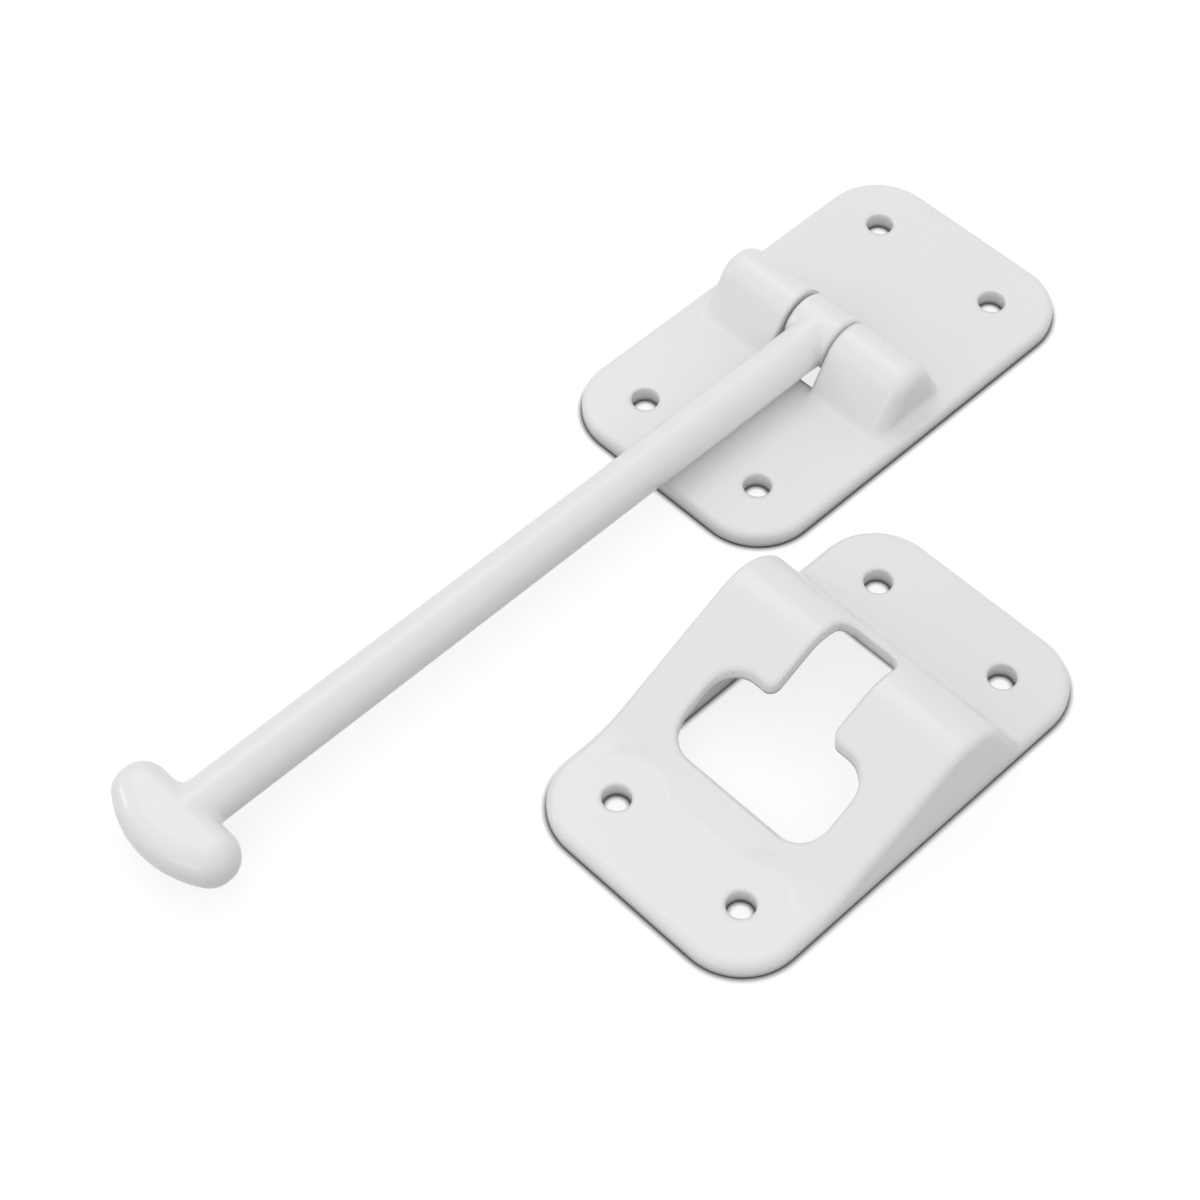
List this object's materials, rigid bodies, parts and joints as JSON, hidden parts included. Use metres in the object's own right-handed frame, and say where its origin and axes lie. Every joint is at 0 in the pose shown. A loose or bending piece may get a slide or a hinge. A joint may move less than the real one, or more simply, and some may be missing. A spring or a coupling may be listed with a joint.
{
  "type": "door holder",
  "caption": "White moulded-plastic T-style door holder: base plate with a hinged T-headed arm, and the separate wedge-shaped catch plate that takes the arm's head.",
  "frame": {"origin": "centre of the base plate's screw pattern on its back face", "axes": "+X across the plates from the base towards the catch, -Y along the arm at rest, +Z out of the mounting face"},
  "size_m": [0.0981, 0.1826, 0.0167],
  "materials": {
    "white_plastic": "smooth moulded, slightly glossy",
    "pin_steel": "drawn, plain"
  },
  "bodies": {
    "base": {"base_plate": "white_plastic", "hinge_pin": "pin_steel", "catch_plate": "white_plastic"},
    "arm": {"t_arm": "white_plastic"}
  },
  "joints": [
    {"name": "arm_hinge", "type": "hinge", "parent": "base", "child": "arm", "pos_m": [0, 0, 0.0072], "axis": [-1, 0, 0], "range_deg": [0, 180]}
  ]
}
